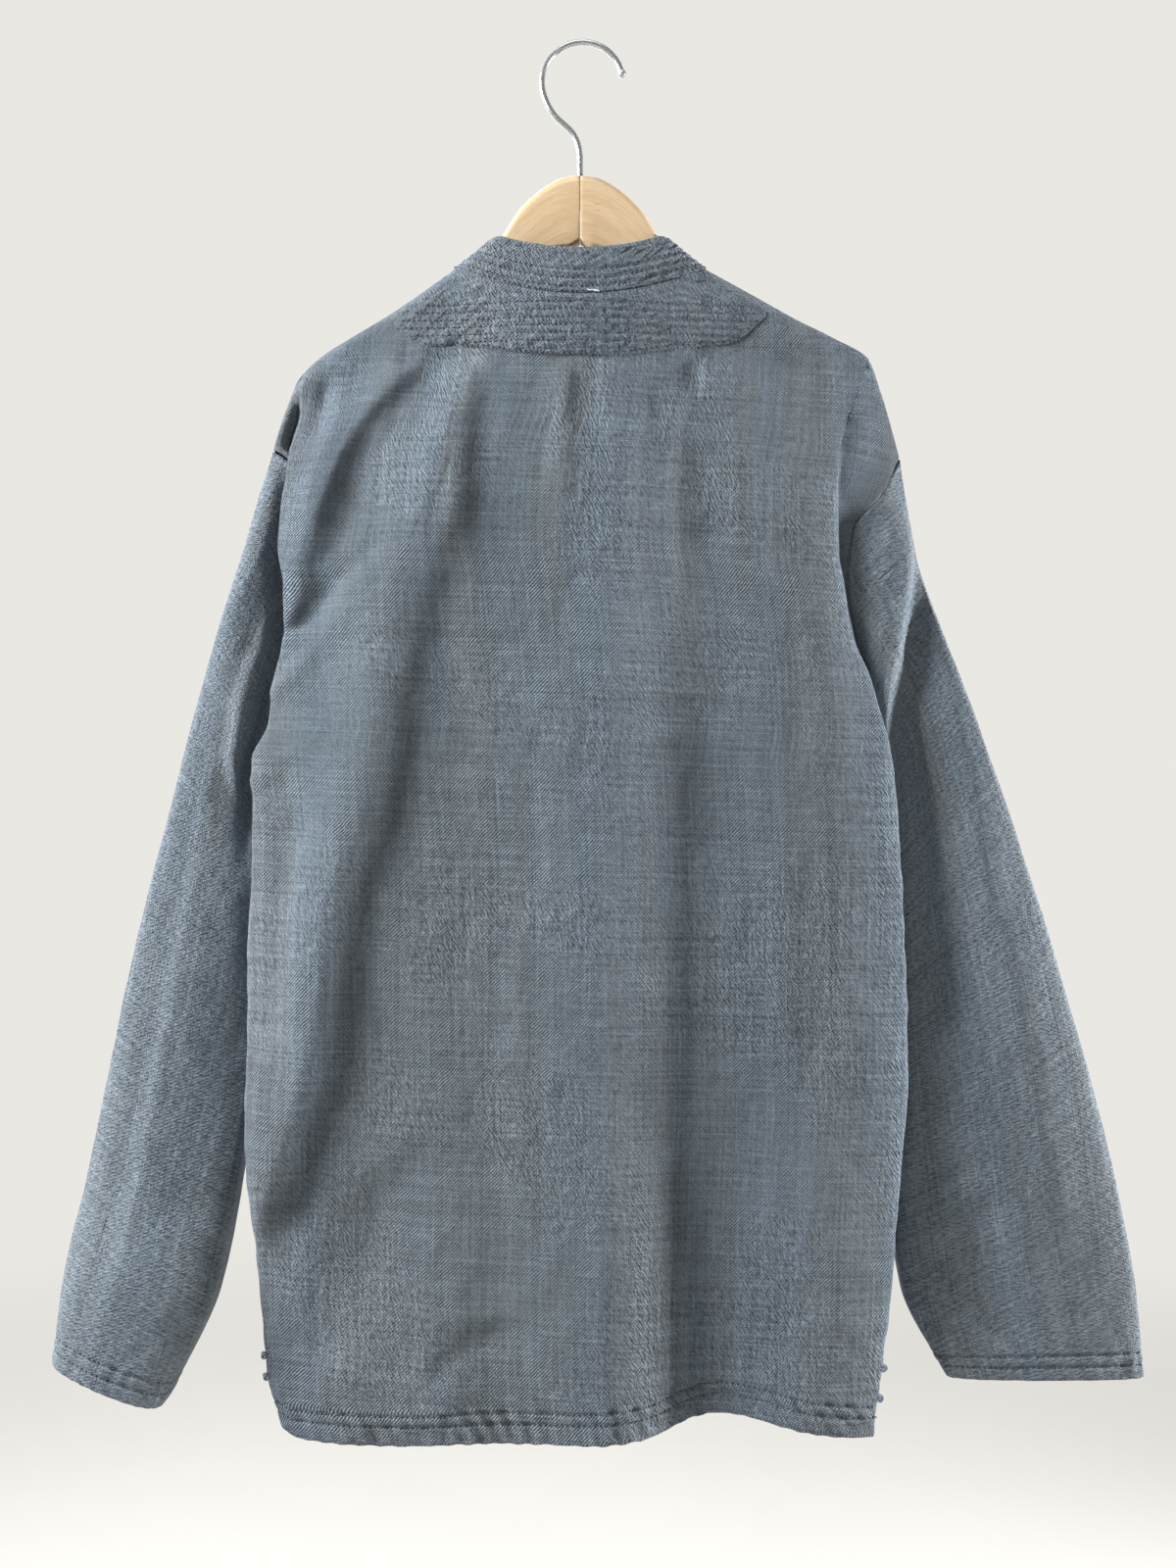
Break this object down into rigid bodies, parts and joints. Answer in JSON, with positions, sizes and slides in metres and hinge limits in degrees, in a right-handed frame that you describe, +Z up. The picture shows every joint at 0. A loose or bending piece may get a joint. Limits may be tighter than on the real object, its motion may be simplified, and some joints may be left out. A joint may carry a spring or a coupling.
{
  "type": "mandarin collar jacket on a wooden hanger",
  "caption": "Slub cotton jacket with a stand-up band collar, quilted yoke patch, dropped shoulders and side vents, hung on a wooden hanger with a wire hook.",
  "frame": {"origin": "the point inside the top of the hanger's hook that rests on a peg", "axes": "+Z up; -Y out of the jacket's back, +Y out of its buttoned fronts; +X towards the wearer's right"},
  "size_m": [0.689, 0.0703, 0.8897],
  "materials": {
    "back_cloth": "slub cotton twill, matt",
    "yoke_cloth": "slub cotton twill, matt",
    "collar_cloth": "slub cotton twill, matt",
    "front_left_cloth": "slub cotton twill, matt",
    "front_right_cloth": "slub cotton twill, matt",
    "sleeve_left_cloth": "slub cotton twill, matt",
    "sleeve_right_cloth": "slub cotton twill, matt",
    "cord": "matt twisted cord",
    "button": "matt",
    "wood": "clear satin lacquer",
    "bright_wire": "polished"
  },
  "bodies": {
    "root": {"back_panel": "back_cloth", "yoke_patch": "yoke_cloth", "collar_band": "collar_cloth", "front_left": "front_left_cloth", "front_right": "front_right_cloth", "sleeve_left": "sleeve_left_cloth", "sleeve_right": "sleeve_right_cloth", "vent_knot_left_1": "cord", "vent_knot_left_2": "cord", "vent_knot_right_1": "cord", "vent_knot_right_2": "cord", "front_button_1": "button", "front_button_2": "button", "front_button_3": "button", "front_button_4": "button", "front_button_5": "button", "hanger_arm_left": "wood", "hanger_arm_right": "wood", "hanger_hook": "bright_wire"}
  },
  "joints": []
}
